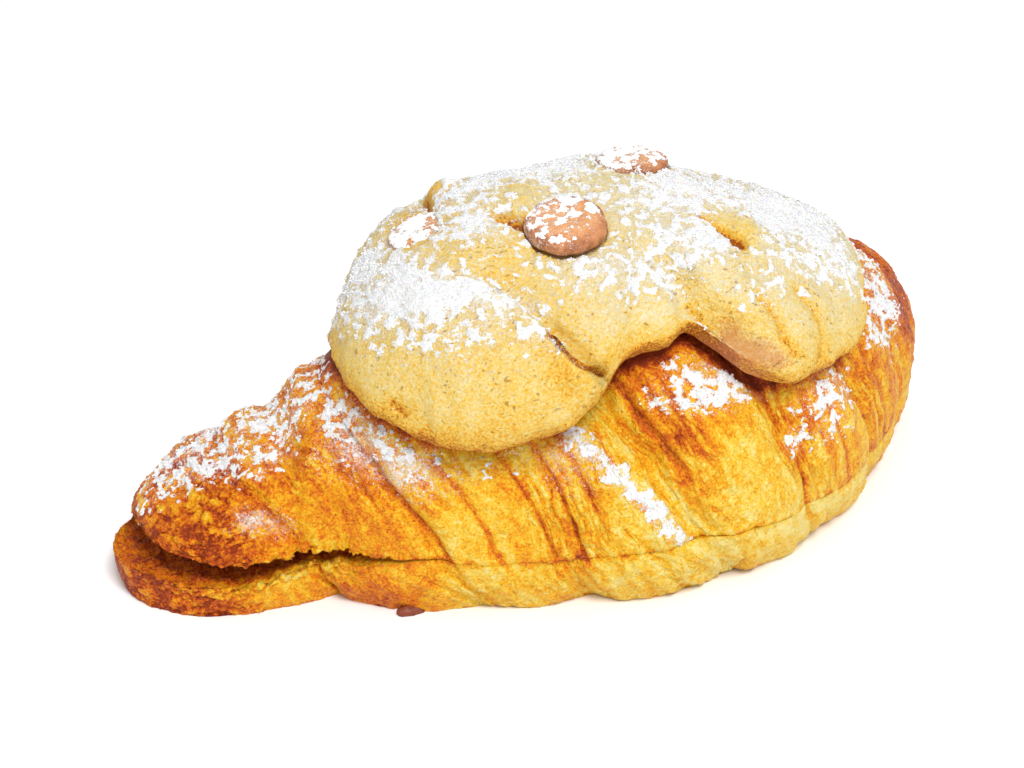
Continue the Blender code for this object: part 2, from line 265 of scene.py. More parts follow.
def on_plan(s, front, height):
    """A section's point in space: the section stands square to the middle line."""
    x, y = between(STATIONS, 1, s) - CENTRE[0], between(STATIONS, 2, s) - CENTRE[1]
    low, high = np.clip(s - 0.5, 0, LENGTH), np.clip(s + 0.5, 0, LENGTH)
    dx = between(STATIONS, 1, high) - between(STATIONS, 1, low)
    dy = between(STATIONS, 2, high) - between(STATIONS, 2, low)
    size = np.hypot(dx, dy)
    return np.stack([x + front * dy / size, y - front * dx / size, height], axis=-1)


def envelope(s, angle):
    """A point on the smooth crust and the direction straight out of it."""

    def at(s, angle):
        return on_plan(s, *section(s, angle))

    along = at(s + 0.5, angle) - at(s - 0.5, angle)
    around = at(s, angle + 0.01) - at(s, angle - 0.01)
    normal = np.cross(along, around)
    return at(s, angle), normal / np.linalg.norm(normal, axis=-1, keepdims=True)


def lean(place):
    """How far a ring's top leans back towards the narrow tip."""
    return between(np.concatenate([[[0, 0]], GROOVES[:, :2], [[LENGTH, 0]]]), 1, place)


def groove_depth(place, column):
    depth = 0
    for groove in GROOVES:
        away = place - groove[0]
        run = np.where(away < 0, groove[4], groove[5])
        depth += groove[column] * np.exp(-((np.abs(away) / run) ** GROOVE_POWER))
    return depth


def raised_fold(s, angle):
    away, share = off_line(s, angle, *FOLD_ENDS)
    return FOLD_HEIGHT * bell(away, FOLD_WIDTH) * window(share, -0.15, 0.15, 0.8, 1.1)


LATTICE = 32
GRADIENTS = RNG.normal(size=(LATTICE, LATTICE, LATTICE, 3))
GRADIENTS /= np.linalg.norm(GRADIENTS, axis=-1, keepdims=True)
CELL_POINTS = RNG.random((LATTICE, LATTICE, LATTICE, 4))


def noise(points, size, octaves=1, gain=0.5):
    """Smooth noise, mostly from -1 to 1, with bumps of a size in millimetres and finer ones by octaves."""
    total, weight = 0, 1
    for octave in range(octaves):
        spot = points * (2**octave / size) + 5.7 * octave
        cell = np.floor(spot).astype(int)
        inside = spot - cell
        fade = inside**3 * (inside * (6 * inside - 15) + 10)
        for corner in np.ndindex(2, 2, 2):
            at = (cell + corner) % LATTICE
            slope = GRADIENTS[at[..., 0], at[..., 1], at[..., 2]]
            share = np.prod(np.where(corner, fade, 1 - fade), axis=-1)
            total += 1.6 * weight * share * np.sum(slope * (inside - corner), axis=-1)
        weight *= gain
    return total


def cells(points, size):
    """Distances to the nearest and the second nearest of scattered points, in shares of the size, and the
    nearest one's own value from 0 to 1."""
    spot = points / size
    cell = np.floor(spot).astype(int)
    nearest = np.full(spot.shape[:-1], 9.0)
    second, value = nearest.copy(), nearest.copy()
    for step in np.ndindex(3, 3, 3):
        neighbour = cell + step - 1
        at = neighbour % LATTICE
        seed = CELL_POINTS[at[..., 0], at[..., 1], at[..., 2]]
        away = np.linalg.norm(neighbour + seed[..., :3] - spot, axis=-1)
        second = np.minimum(second, np.maximum(away, nearest))
        value = np.where(away < nearest, seed[..., 3], value)
        nearest = np.minimum(nearest, away)
    return nearest, second, value


def spots(s, angle, rows, slant=13.0):
    """Sum of rows of soft spots, drawn out along the slanting bands."""
    total = 0
    for middle, degrees, along, around, amount in rows:
        across = s - middle + slant * (np.sin(angle) - math.sin(math.radians(degrees)))
        total += amount * bell(across, along) * bell(np.degrees(angle) - degrees, around)
    return total


def grid_normals(points):
    """Directions straight out of a grid of rings."""
    along = np.gradient(points, axis=0)
    around = np.roll(points, -1, axis=1) - np.roll(points, 1, axis=1)
    normal = np.cross(along, around)
    normal /= np.maximum(np.linalg.norm(normal, axis=-1, keepdims=True), 1e-9)
    for end, beside in ((0, 1), (-1, -2)):
        mean = normal[beside].mean(axis=0)
        normal[end] = mean / max(np.linalg.norm(mean), 1e-9)
    middle = points.reshape(-1, 3).mean(axis=0)
    outward = np.sum(normal * (points - middle)) > 0
    return normal if outward else -normal


def ring_mesh(name, points, **values):
    """A closed mesh over rings of points, whose first and last ring are single points. It has one value per
    point for each name."""
    rings, around = points.shape[0] - 1, points.shape[1]
    kept = np.concatenate([points[0, :1], points[1:-1].reshape(-1, 3), points[-1:, 0]])
    first = 1 + np.arange(rings - 1)[:, None] * around + np.arange(around)[None]
    beside = np.roll(first, -1, axis=1)
    quads = np.stack([first[:-1], first[1:], beside[1:], beside[:-1]], axis=-1).reshape(-1, 4)
    start = np.stack([np.zeros(around, int), first[0], beside[0]], axis=-1)
    end = np.stack([np.full(around, len(kept) - 1), beside[-1], first[-1]], axis=-1)
    normal = grid_normals(points)
    across = np.cross(points[3, 1] - points[2, 0], points[2, 1] - points[3, 0])
    if np.dot(across, normal[2, 0]) > 0:
        quads, start, end = quads[:, ::-1], start[:, ::-1], end[:, ::-1]
    mesh = bpy.data.meshes.new(name)
    mesh.from_pydata((kept * MM).tolist(), [], quads.tolist() + start.tolist() + end.tolist())
    for key, value in values.items():
        flat = value[1:-1].reshape(-1, *value.shape[2:])
        value = np.concatenate([value[0, :1], flat, value[-1:, 0]]).astype(np.float32)
        if value.ndim > 1:
            mesh.attributes.new(key, "FLOAT_VECTOR", "POINT").data.foreach_set("vector", value.ravel())
        else:
            mesh.attributes.new(key, "FLOAT", "POINT").data.foreach_set("value", value)
    return finish_piece(name, mesh)


def add_object(name, data):
    made = bpy.data.objects.new(name, data)
    bpy.context.scene.collection.objects.link(made)
    return made


def finish_piece(name, mesh):
    mesh.shade_smooth()
    mesh.validate()
    piece = add_object(name, mesh)
    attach(piece, "root")
    return piece


def ring_places(start, rings):
    fine = np.linspace(start, LENGTH, 4000)
    crowding = 1 + 1.5 * (bell(fine - start, 4) + bell(LENGTH - fine, 4))
    for groove in GROOVES:
        crowding += 0.5 * bell(fine - groove[0], 3)
    return crowded(fine, crowding, rings + 1)[:, None]


def ring_angles(place, seam, around, lid):
    """Angles from the front seam to the back one, over the top or underneath, in equal runs."""
    turn = math.pi - 2 * seam if lid else -math.pi - 2 * seam
    fine = seam + turn * np.linspace(0, 1, 721)
    front, height = section(place, fine)
    steps = np.hypot(np.diff(front, prepend=front[:, :1]), np.diff(height, prepend=height[:, :1]))
    shares = np.linspace(0, 1, around + 1)
    runs = np.cumsum(steps, axis=1)
    return np.array([np.interp(shares * run[-1], run, row) for run, row in zip(runs, fine)])


def seam_wave(s, angle, lid):
    """How far the cut wanders: alike on both halves, and each half's own ragged edge in the mouth."""
    side = np.where(np.cos(angle) > 0, 0, 50.0)
    spot = np.stack([s, side, side], axis=-1)
    ragged = 0.5 * noise(spot + (80.0 if lid else 40.0), 2.6, 2) * smooth_step(54, 46, s)
    return (0.7 * noise(spot, 9.0, 3) + ragged) * window(s, 2, 9, LENGTH - 12, LENGTH - 3)


def half_body(start, grid, lid):
    """Rings of points round the lid or the base, with each point's distance along, angle and ring place, 1 on
    the crust or 0 on the cut, and its distance from the cut's edge."""
    around, chord, rings = grid
    place = ring_places(start, rings)
    seam = np.zeros_like(place)
    for _ in range(6):
        s = place - lean(place) * np.sin(seam)
        cut = between(STATIONS, 5, s)
        if lid:
            cut += between(STATIONS, 6, s) - CLOSING * smooth_step(*CLOSING_ENDS, s)
        seam = seam_angle(s, cut)
    angle = ring_angles(place, seam, around, lid)
    along = np.clip(place - lean(place) * np.sin(angle), start, LENGTH)
    front, height = section(along, angle)
    level = widest_level(along)
    relief = -groove_depth(place, 2 if lid else 3) * cap(along, start, 2)
    if lid:
        side = np.minimum(angle, math.pi - angle)
        relief *= SEAM_SHARE + (1 - SEAM_SHARE) * smooth_step(-0.1, 0.45, side)
        relief += raised_fold(along, angle)
    grow = relief / np.maximum(np.hypot(front, height - level), 1)
    front *= 1 + grow
    height += (height - level) * grow * smooth_step(0, 10, np.abs(height - cut))
    across = np.linspace(0, 1, chord + 1)[None, 1:-1]
    dish = DISH_DEPTH * smooth_step(DISH_END, 0.6 * DISH_END, s) * np.sqrt(np.sin(math.pi * across))
    width = front[:, :1] - front[:, -1:]
    edge = np.concatenate([np.abs(height - cut), np.minimum(across, 1 - across) * width], axis=1)
    front = np.concatenate([front, front[:, -1:] + width * across], axis=1)
    height = np.concatenate([height, cut + (dish if lid else -dish)], axis=1)
    crust = np.concatenate([np.ones_like(along), np.zeros((len(along), chord - 1))], axis=1)
    along = np.concatenate([along, np.repeat(s, chord - 1, axis=1)], axis=1)
    angle = np.concatenate([angle, angle[:, -1:] * (1 - across) + angle[:, :1] * across], axis=1)
    open_share = cap(along, start, LID_CAP_POWER if lid else BASE_CAP_POWER)
    tip = cut + (LID_TIP_RISE if lid else -BASE_TIP_DROP)
    wave = seam_wave(along, angle, lid) * bell(height - cut, 5)
    points = on_plan(along, front * open_share, np.maximum(tip + (height + wave - tip) * open_share, 0))
    return points, along, angle, np.repeat(place, points.shape[1], axis=1), crust, edge


def cookie_reach(turn):
    """Reach of the slab's outline from its middle in a direction on the unrolled crust."""
    rows = np.concatenate([COOKIE_REACH - (360, 0), COOKIE_REACH, COOKIE_REACH + (360, 0)])
    return between(rows, 1, np.degrees(turn))


def beyond_slab(s, angle):
    """Distance on the unrolled crust past the slab's outline, negative under the slab."""
    ds, da = s - COOKIE_MIDDLE[0], (np.degrees(angle) - COOKIE_MIDDLE[1]) * MM_PER_DEGREE
    return np.hypot(ds, da) - cookie_reach(np.arctan2(da, ds))


def cookie_relief(s, angle):
    """Height of the slab's step and creases."""
    away, place = off_line(s, angle, *STEP_ENDS)
    drop = smooth_step(STEP_WIDTH, -STEP_WIDTH, away) * np.exp(np.minimum(away, 0) / STEP_RUN)
    relief = -STEP_DROP * drop * window(place, -0.25, 0.1, 1.0, 1.3)
    for first, last, depth, width in CREASES:
        away, place = off_line(s, angle, first, last)
        relief -= depth * bell(away, width) * window(place, -0.4, 0.1, 0.9, 1.4)
    return relief


def cookie_thickness(s, angle):
    side = np.clip(np.abs(np.degrees(angle) - 90) / 60, 0, 1)
    return between(COOKIE_THICKNESS, 1, s) * (1 - COOKIE_THINNING * side**2)


def linear(colour):
    """A display colour of 0 to 255 as the renderer's own numbers."""
    share = np.array(colour) / 255
    return tuple(np.where(share <= 0.04045, share / 12.92, ((share + 0.055) / 1.055) ** 2.4)) + (1.0,)


class Signal:
    """A node's output, which adds and multiplies as a number does."""

    def __init__(self, shader, socket):
        self.shader, self.socket = shader, socket

    def __add__(self, other):
        return self.shader.math("ADD", self, other)

    def __sub__(self, other):
        return self.shader.math("SUBTRACT", self, other)

    def __mul__(self, other):
        return self.shader.math("MULTIPLY", self, other)


class Shader:
    """A new material and short ways to add its nodes."""

    def __init__(self, name):
        self.material = bpy.data.materials.new(name)
        self.material.use_nodes = True
        self.nodes, self.links = self.material.node_tree.nodes, self.material.node_tree.links
        self.position = self.add("ShaderNodeTexCoord", "Object")

    def feed(self, socket, value):
        if isinstance(value, Signal):
            self.links.new(value.socket, socket)
        else:
            socket.default_value = value

    def add(self, kind, output, inputs=(), **settings):
        """One output of a new node with these inputs and settings."""
        node = self.nodes.new(kind)
        for key, value in settings.items():
            setattr(node, key, value)
        for key, value in dict(inputs).items():
            self.feed(node.inputs[key], value)
        return Signal(self, node.outputs[output])

    def set(self, socket, value):
        self.feed(self.nodes["Principled BSDF"].inputs[socket], value)

    def math(self, operation, *values):
        return self.add("ShaderNodeMath", "Value", enumerate(values), operation=operation)

    def step(self, value, low, high):
        """0 below low, 1 above high, smooth between."""
        inputs = {"Value": value, "From Min": low, "From Max": high}
        return self.add("ShaderNodeMapRange", "Result", inputs, interpolation_type="SMOOTHSTEP")

    def value(self, name, part="Fac"):
        return self.add("ShaderNodeAttribute", part, attribute_name=name)

    def texture(self, kind, output, size, where, **inputs):
        """A texture with features of a size in millimetres."""
        return self.add(kind, output, {"Vector": where or self.position, "Scale": 1 / (size * MM), **inputs})

    def noise(self, size, detail=2.0, roughness=0.6, where=None):
        """Noise from 0 to 1."""
        return self.texture("ShaderNodeTexNoise", "Fac", size, where, Detail=detail, Roughness=roughness)

    def ripple(self, *settings):
        """Noise from -0.5 to 0.5."""
        return self.noise(*settings) - 0.5

    def chips(self, size, where=None):
        """Cells, each with a random value of its own from 0 to 1."""
        chips = self.texture("ShaderNodeTexVoronoi", "Color", size, where)
        return self.add("ShaderNodeSeparateColor", "Red", {"Color": chips})

    def ramp(self, value, stops):
        node = self.nodes.new("ShaderNodeValToRGB")
        elements = node.color_ramp.elements
        while len(elements) < len(stops):
            elements.new(0.5)
        for element, (share, colour) in zip(elements, stops):
            element.position = share
            element.color = linear(colour)
        self.feed(node.inputs["Fac"], value)
        return Signal(self, node.outputs["Color"])

    def mix(self, share, first, second):
        return self.add("ShaderNodeMix", 2, {0: share, 6: first, 7: second}, data_type="RGBA")

    def bump(self, height, distance, strength=1.0, below=None):
        """Relief of a height from 0 to 1 that stands a distance in millimetres tall."""
        inputs = {"Height": height, "Distance": distance * MM, "Strength": strength}
        if below:
            inputs["Normal"] = below
        return self.add("ShaderNodeBump", "Normal", inputs)

    def soften(self, weight, radius):
        """A dull sheen, and light that spreads below the skin, for each colour in shares of 0.6 mm."""
        self.set("Specular IOR Level", 0.25)
        self.set("Subsurface Weight", weight)
        self.set("Subsurface Radius", radius)
        self.set("Subsurface Scale", 0.6 * MM)

    def sugar_mask(self):
        """Where icing sugar lies: clumps with a grainy edge, and a thin veil of dust round them."""
        sugar, veil = self.value("sugar"), self.value("veil")
        grains = self.ripple(1.5, 3.0, 0.7) * 1.5 + self.ripple(0.45, 2.0, 0.75) * 2.6
        some = self.step(self.math("MAXIMUM", sugar, veil), 0.02, 0.10)
        clumps = self.step(sugar + grains, 0.40, 0.52)
        dust = self.step(veil + grains, 0.20, 1.0)
        specks = self.step(veil + self.ripple(0.5) * 2.4, 0.66, 0.86)
        mask = self.math("MAXIMUM", clumps, dust * 0.6)
        return self.math("MAXIMUM", mask, specks * 0.9) * some

    def sugared(self, colour, skin, rough, powder, grain, tall, strength):
        """Icing sugar over a colour and a relief. Rough is the bare surface's roughness and powder what sugar
        adds to it; its grain has a size, a height and a strength."""
        sugar = self.sugar_mask()
        self.set("Base Color", self.mix(sugar, colour, linear((252, 252, 252))))
        self.set("Roughness", sugar * powder + rough)
        self.set("Normal", self.bump(sugar * self.noise(grain), tall, strength, skin))
        return self

    def dress(self, piece, slot):
        piece.data.materials.append(self.material)
        return piece


def crust_material(name):
    """Baked, buttery crust: golden where pale, red-brown where dark, with fibres along the bands."""
    shader = Shader(name)
    flow = shader.value("flow", "Vector")
    bake, streaks = shader.value("bake"), shader.value("streaks")
    fibres = shader.ripple(1.5, 4.0, 0.62, flow)
    lines = shader.step(shader.math("ABSOLUTE", shader.ripple(2.6, 3.0, 0.6, flow)), 0.05, 0.0)
    patches = shader.chips(1.25, flow) * streaks + shader.chips(1.1) - 0.8
    mottle, fine = shader.ripple(2.8, 4.0, 0.68), shader.ripple(0.5, 3.0, 0.8)
    drawn = fibres * 0.75 + lines * 0.20
    level = bake + mottle * 0.60 + fine * 1.25 + patches * 0.15 + drawn * streaks
    level = shader.math("MINIMUM", level, bake + 0.28)
    level = shader.math("MINIMUM", level, 0.93)
    skin = shader.bump((fibres - lines * 0.3) * streaks + patches * 0.3, 0.9, 0.9)
    skin = shader.bump(shader.noise(1.3, 5.0, 0.78), 1.0, 0.9, skin)
    skin = shader.bump(shader.noise(0.5), 0.45, 0.9, skin)
    shader.soften(0.2, (1.0, 0.4, 0.12))
    return shader.sugared(shader.ramp(level, BAKE_COLOURS), skin, 0.42, 0.5, 0.45, 0.35, 0.6)


def cookie_material():
    """Pale baked cookie dough: matt, finely pitted, browner towards its rim, with a stain."""
    shader = Shader("cookie_dough")
    mottle, sand = shader.ripple(5.0, 4.0, 0.6), shader.ripple(0.5, 2.0, 0.7)
    level = shader.value("tan") + mottle * 0.40 + sand * 1.45 + shader.ripple(1.4, 3.0, 0.75) * 0.6
    stain = shader.step(shader.value("stain") + (mottle * 1.6 + sand * 1.2), 0.25, 1.15)
    colour = shader.mix(stain * 0.55, shader.ramp(level, DOUGH_COLOURS), linear((196, 116, 92)))
    stretch = {"Vector": shader.position, "Rotation": (0.3, 0.5, 0.4), "Scale": (0.5, 1.2, 0.9)}
    stretched = shader.add("ShaderNodeMapping", "Vector", stretch)
    pores = shader.step(shader.noise(0.75, 1.0, 0.5, stretched), 0.66, 0.71)
    pores *= shader.step(shader.noise(4.0), 0.36, 0.56)
    colour = shader.mix(pores * 0.66, colour, linear((172, 112, 24)))
    skin = shader.bump(shader.noise(0.9, 5.0, 0.85), 0.7, 0.8)
    skin = shader.bump(shader.noise(0.5), 0.35, 0.9, skin)
    skin = shader.bump(shader.math("SUBTRACT", 1.0, pores), 0.25, 0.8, skin)
    shader.soften(0.25, (1.0, 0.6, 0.25))
    return shader.sugared(colour, skin, 0.62, 0.3, 0.5, 0.3, 0.6)


def chocolate_material():
    """Milk chocolate bloomed and dulled by the oven."""
    shader = Shader("milk_chocolate_drop")
    colour = shader.ramp(shader.noise(2.2, 4.0, 0.65) + shader.value("tan"), CHOCOLATE_COLOURS)
    skin = shader.bump(shader.noise(1.1, 4.0, 0.75), 0.7, 0.8)
    return shader.sugared(colour, skin, 0.5, 0.4, 0.5, 0.35, 0.8)


# Spots of icing sugar as shares covered.
LID_SUGAR = (
    (10, 112, 5, 26, 0.4), (15, 88, 4, 14, 0.42), (22, 80, 5, 15, 0.65), (19, 112, 10, 22, 0.6),
    (31, 67, 5, 9, 0.7), (32, 94, 7, 14, 0.6), (38, 77, 6, 8, 0.6), (45, 62, 5, 8, 0.8),
    (51, 41, 4, 7, 1.0), (44, 50, 3, 5, 0.35), (49, 53, 3.5, 5, 0.5), (52, 32, 4, 6, 0.36),
    (57, 28, 4, 6, 0.48), (28, 57, 4, 6, 0.34), (43, 98, 6, 14, 0.34), (71, 25, 3, 6, 0.2),
    (65, 22, 3, 6, 0.2), (81.5, 27, 3, 4, 0.75), (97, 41, 4, 5, 0.25), (102, 42, 5, 6, 0.6),
    (106, 41, 4, 6, 0.66), (108, 35, 3, 4, 0.4), (95, 36, 3, 4, 0.3), (100, 34, 4, 4, 0.4),
    (104, 33, 4, 3, 0.34), (118, 20, 4, 6, 0.58), (114.5, 11, 3, 4, 0.5), (118, 12, 3.5, 4, 0.64),
    (121, 26, 4, 7, 0.5), (121, 13, 2.5, 5, 0.4), (124, 19, 2.5, 6, 0.35), (140, 30, 4, 7, 0.42),
    (147, 35, 4, 7, 0.6), (149, 44, 5, 12, 0.7), (145, 22, 4, 7, 0.45), (136, 50, 6, 18, 0.5),
    (154, 62, 5, 16, 0.5), (150, 85, 9, 28, 0.55), (60, 140, 30, 14, 0.3), (110, 138, 30, 12, 0.3),
    (30, 135, 14, 14, 0.3),
)
# Sugar along the raised fold, and on the dough.
RIDGE_SUGAR = 1.12
COOKIE_SUGAR = (
    (53, 96, 6, 16, 0.9), (58, 92, 4, 6, 0.5), (59, 78, 6, 8, 0.95), (63, 70, 6, 5.5, 1.0),
    (69, 66, 4, 4, 0.9), (73, 63, 3, 3, 0.7), (76, 60, 3, 3, 0.6), (56, 65, 5, 4, 0.06),
    (62, 60, 5, 4, 0.32), (69, 57, 5, 4, 0.55), (77, 52.5, 3.5, 3, 0.6), (63, 98, 6, 9, 0.12),
    (66, 108, 7, 10, 0.32), (72, 91, 7, 9, 0.32), (76, 103, 6, 9, 0.6), (77, 84, 5, 7, 0.44),
    (73, 82, 5, 5, 0.3), (84, 104, 8, 9, 0.5), (92, 100, 8, 9, 0.6), (91, 86, 5, 6, 0.4),
    (86, 67, 7, 5, 0.5), (85, 76, 5, 5, 0.36), (82, 94, 3, 5, -0.35), (73, 84, 4, 5, 0.4),
    (73, 98, 3, 3, 0.4), (95, 107, 8, 5, 0.5), (93, 65, 7, 4.5, 0.44), (100, 82, 6, 8, 0.45),
    (100, 71, 4, 5, 0.5), (105, 68, 4, 4, 0.78), (106, 84, 6, 9, 0.55), (104, 54, 5, 4, 0.18),
    (110.5, 71, 3.2, 5, -0.95), (106, 67, 2.5, 4, 0.5), (98.5, 63, 4, 3.5, 0.45), (110, 54, 3, 3, 0.3),
    (119, 84, 11, 13, 0.95), (118, 70, 6, 7, 0.55), (128, 72, 7, 10, 0.85), (128, 55, 5, 9, 0.6),
    (112, 60, 4, 4, 0.5), (125, 64, 3, 4, 0.45), (121, 56, 5, 5, 0.62), (137, 82, 9, 18, 0.7),
    (80, 122, 20, 13, 0.7), (112, 116, 22, 14, 0.7),
)
# Thin dust without clumps, on the lid and on the dough.
LID_DUST = (
    (24, 30, 4, 9, 0.68), (30, 20, 3, 8, 0.35), (56, 24, 4, 8, 0.6), (46, 38, 6, 12, 0.42),
    (78, 20, 4, 8, 0.4),
)
COOKIE_DUST = 0.13
# Spots where chocolate has stained the dough.
COOKIE_STAIN = (
    (100.8, 50, 1.5, 4, 0.6), (102.6, 46, 1.8, 4, 0.85), (104.6, 42, 2.4, 4, 0.95), (107, 38, 2.8, 3, 0.8),
    (92, 50, 3, 3, 0.15), (57, 46, 1.6, 2.4, 0.2), (66, 101, 3, 5, 0.45),
)
# Folds of the skin along the bands: place at the front, lean, from and to degrees, depth, run before, after.
FOLDS = (
    (35.8, 15.7, -8, 62, 1.0, 1.6, 0.5), (57.8, 27.0, 16, 70, 0.9, 0.5, 1.8),
    (59.4, 16.5, -8, 52, 1.1, 1.6, 0.5), (66.5, 15.0, -8, 30, 0.5, 1.4, 0.4),
    (75.0, 15.0, -12, 46, 0.9, 0.9, 0.4), (79.6, 13.0, -10, 28, 0.9, 1.0, 0.4),
    (84.5, 14.0, 4, 34, 0.5, 1.2, 0.4), (99.4, 15.0, 12, 56, 1.5, 1.4, 0.5),
    (102.2, 15.0, 20, 60, 0.8, 0.9, 0.4), (114.0, 9.5, -12, 52, 1.2, 0.5, 1.4),
    (122.5, 10.0, -10, 30, 0.4, 0.4, 1.0), (129.4, 11.0, -8, 60, 0.8, 0.4, 1.4),
    (136.0, 9.0, -8, 70, 0.5, 0.4, 1.2), (147.0, 8.0, -8, 80, 0.7, 0.4, 1.2),
    (44.0, 14.0, 95, 180, 0.8, 0.5, 1.4), (66.0, 14.0, 100, 185, 0.7, 0.5, 1.6),
    (88.0, 14.0, 110, 190, 0.8, 0.5, 1.6), (108.0, 12.0, 110, 190, 0.6, 0.5, 1.6),
    (139.0, 10.0, 100, 185, 0.7, 0.5, 1.6),
)
# Spots where the edges of many thin layers show.
LAYERS = (
    (95, 30, 5, 24, 1.0), (36, 40, 4, 26, 0.6), (47, 40, 4, 24, 0.5), (58, 30, 4, 22, 0.6),
    (76, 8, 5, 18, 0.7), (113, 20, 4, 20, 0.6), (129, 20, 4, 24, 0.6), (147, 30, 6, 30, 0.6),
    (62, 135, 6, 20, 0.6), (96, 140, 6, 20, 0.8), (128, 135, 6, 22, 0.6), (90, -14, 30, 14, 0.3),
)


def crust_flow(points, angle, place):
    """Coordinates in which noise is drawn out along the slanting bands."""
    drift = 1.4 * noise(points, 16, 2) + 0.4 * noise(points, 5)
    return np.stack([place + drift, np.degrees(angle) * 0.13, 0.4 * noise(points, 9)], axis=-1)


def fold_lines(along, angle):
    """Depth of the folds, and how dark their bottoms are painted, as painted shade."""
    depth, line = 0, 0
    degrees = np.degrees(angle)
    for middle, slant, first, last, deep, before, after in FOLDS:
        away = along - middle + slant * np.sin(angle)
        run = np.where(away < 0, before, after)
        ends = window(degrees, first - 6, first + 6, last - 4, last + 10)
        depth += deep * np.exp(-np.abs(away) / run) * ends
        line += bell(away, 0.42) * ends
    return depth, np.minimum(line, 1)


def saw(value, fall):
    """A rise from 0 to 1 over each whole step, which drops back after a share of the step."""
    share = value - np.floor(value)
    return share - smooth_step(fall, 1.0, share)


def crust_detail(points, along, angle, place, edge, lid):
    """Relief of the baked crust, how far each point is baked with painted shade in its hollows and under the
    slab, and where and how strongly its fibres run.
    """
    flow = crust_flow(points, angle, place)
    stripes = noise(flow, 3.4, 3, 0.6)
    wrinkles = noise(flow * (1, 2.2, 1), 1.5, 2)
    creases = np.exp(-np.abs(noise(flow + 9.0, 5.5, 2)) / 0.05)
    creases *= smooth_step(-0.1, 0.5, noise(points + 30, 14))
    layered = np.clip(groove_depth(place, 2) / 3.0, 0, 1)
    terrace = saw(flow[..., 0] / 3.4 + 0.6 * noise(points, 18), 0.84)
    strength = smooth_step(6, 30, along) * (0.35 + 0.65 * layered)
    depth, line = fold_lines(along, angle)
    bent = np.stack([noise(points + shift, 3, 3, 0.7) for shift in (11, 23, 37)], axis=-1)
    first, second, chance = cells(points + 1.3 * bent, 3.0)
    plate = smooth_step(0.0, 0.35, second - first)
    crackled = smooth_step(34, 14, along) * (1 if lid else 0.9)
    crackled += 0.25 * smooth_step(0.1, 0.6, noise(points + 50, 15))
    leaf = saw(flow[..., 0] / 1.9 + 0.35 * noise(points, 7, 2), 0.75)
    laminated = np.clip(spots(along, angle, LAYERS), 0, 1)
    relief = 0.45 * noise(points, 13, 2) + 0.22 * noise(points, 5, 2)
    relief += stripes * (0.2 + 0.3 * layered) + 0.65 * terrace * strength + 0.14 * wrinkles
    relief = relief - 0.45 * creases * strength - depth + 0.1 * noise(points, 1.5, 2)
    relief += 0.5 * (plate - 0.7) * crackled + leaf * laminated
    relief += 0.3 * crackled * noise(points, 1.1, 2, 0.7) + 0.12 * noise(points, 1.0, 2, 0.7)
    if lid:
        relief += spots(along, angle, LID_HUMPS)
        share = np.clip(np.sin(angle), 0, 1)
        low, middle, top = (between(LID_BAKE, column, along) for column in (1, 2, 3))
        upper_tone = middle + (top - middle) * (share * 2 - 1)
        tone = np.where(share < 0.5, low + (middle - low) * share * 2, upper_tone)
        # Browner baking, and painted shade on the band behind the slab.
        tone += spots(along, angle, LID_BROWN_AND_SHADE)
        # Painted shade: the crust darker under and just past the slab's rim.
        painted_slab_shade = 0.44 * smooth_step(2.4, -1.0, beyond_slab(along, angle))
    else:
        low, foot = between(BASE_BAKE, 1, along), between(BASE_BAKE, 2, along)
        tone = low + (foot - low) * smooth_step(0, 10, edge)
        painted_slab_shade = 0
    # Painted shade: darker where the relief sinks and paler where it rises, and darker in the fold bottoms,
    # the creases and the grooves near the narrow tip.
    bake = tone + 0.13 * stripes + 0.08 * noise(points, 9, 2) - 0.14 * terrace * strength + 0.05 * wrinkles
    bake += 0.40 * line + 0.10 * creases * strength - 0.10 * relief
    bake += 0.14 * layered * smooth_step(62, 42, along) * (1 if lid else 0)
    bake += crackled * (0.22 * (1 - plate) + 0.30 * (chance - 0.5)) + laminated * (0.22 - 0.50 * leaf)
    most = 0.64 + 0.3 * smooth_step(34, 16, along) + 0.3 * smooth_step(148, 160, along)
    bake = np.minimum(bake, np.maximum(most, tone)) + painted_slab_shade
    streaks = smooth_step(10, 30, along) * (0.35 + 0.65 * layered) * (0.7 + 0.5 * noise(points, 15, 2))
    streaks *= 0.6 + 0.4 * smooth_step(48, 68, along)
    streaks += 0.4 * laminated
    return relief, bake, {"flow": flow * MM, "streaks": np.clip(streaks, 0, 1)}


def sugar_clumps(points, level):
    """Density of clumps of icing sugar that cover the given share: 1 on a clump and 0 between them."""
    share = np.clip(0.85 * level, 0.01, 0.97)
    clump = noise(points, 1.9, 2, 0.65) + 0.3 * noise(points, 8)
    spare = 0.24 * np.log((1 - share) / share)
    return smooth_step(spare - 0.26, spare + 0.26, clump) * smooth_step(0.02, 0.06, level)


